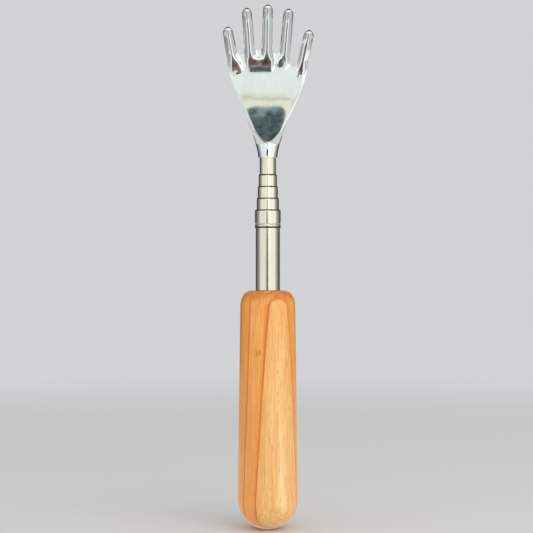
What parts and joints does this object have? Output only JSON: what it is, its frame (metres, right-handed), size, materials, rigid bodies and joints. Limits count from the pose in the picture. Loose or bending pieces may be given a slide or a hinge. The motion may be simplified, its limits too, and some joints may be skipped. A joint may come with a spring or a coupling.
{
  "type": "telescopic back scratcher",
  "caption": "Telescopic back scratcher: a polished steel hand with hooked fingers on nested sliding tubes, set in a turned wooden handle.",
  "frame": {"origin": "on the tubes' axis at the middle of the wooden handle, where the hand grips it", "axes": "+Z along the tubes towards the fingertips, -Y the scratching side of the hand, +X to the right seen from that side"},
  "size_m": [0.0376, 0.0254, 0.2182],
  "materials": {
    "lacquered_wood": "satin-gloss lacquer over light orange-tan wood",
    "tube_chrome": "bright plated steel tube",
    "hand_steel": "polished stamped steel",
    "spring_bronze": "rolled spring bronze",
    "turned_brass": "turned",
    "plug_steel": "turned"
  },
  "bodies": {
    "handle": {"handle": "lacquered_wood", "outer_tube": "tube_chrome", "base_plug": "plug_steel", "mouth_collar": "tube_chrome"},
    "section_1_spring": {"section_1_spring": "spring_bronze"},
    "section_1": {"section_1_tube": "tube_chrome", "section_1_stop": "turned_brass"},
    "section_2_spring": {"section_2_spring": "spring_bronze"},
    "section_2": {"section_2_tube": "tube_chrome", "section_2_stop": "turned_brass"},
    "section_3_spring": {"section_3_spring": "spring_bronze"},
    "section_3": {"section_3_tube": "tube_chrome", "section_3_stop": "turned_brass"},
    "section_4_spring": {"section_4_spring": "spring_bronze"},
    "section_4": {"section_4_tube": "tube_chrome", "section_4_stop": "turned_brass", "tip_plug": "plug_steel", "hand": "hand_steel"}
  },
  "joints": [
    {"name": "section_1_slide", "type": "slide", "parent": "handle", "child": "section_1_spring", "axis": [0, 0, 1], "range_m": [0, 0.0998]},
    {"name": "section_1_turn", "type": "hinge", "parent": "section_1_spring", "child": "section_1", "pos_m": [0, 0, 0], "axis": [0, 0, 1], "continuous": true},
    {"name": "section_2_slide", "type": "slide", "parent": "section_1", "child": "section_2_spring", "axis": [0, 0, 1], "range_m": [0, 0.0998]},
    {"name": "section_2_turn", "type": "hinge", "parent": "section_2_spring", "child": "section_2", "pos_m": [0, 0, 0], "axis": [0, 0, 1], "continuous": true},
    {"name": "section_3_slide", "type": "slide", "parent": "section_2", "child": "section_3_spring", "axis": [0, 0, 1], "range_m": [0, 0.0998]},
    {"name": "section_3_turn", "type": "hinge", "parent": "section_3_spring", "child": "section_3", "pos_m": [0, 0, 0], "axis": [0, 0, 1], "continuous": true},
    {"name": "section_4_slide", "type": "slide", "parent": "section_3", "child": "section_4_spring", "axis": [0, 0, 1], "range_m": [0, 0.0998]},
    {"name": "section_4_turn", "type": "hinge", "parent": "section_4_spring", "child": "section_4", "pos_m": [0, 0, 0], "axis": [0, 0, 1], "continuous": true}
  ]
}
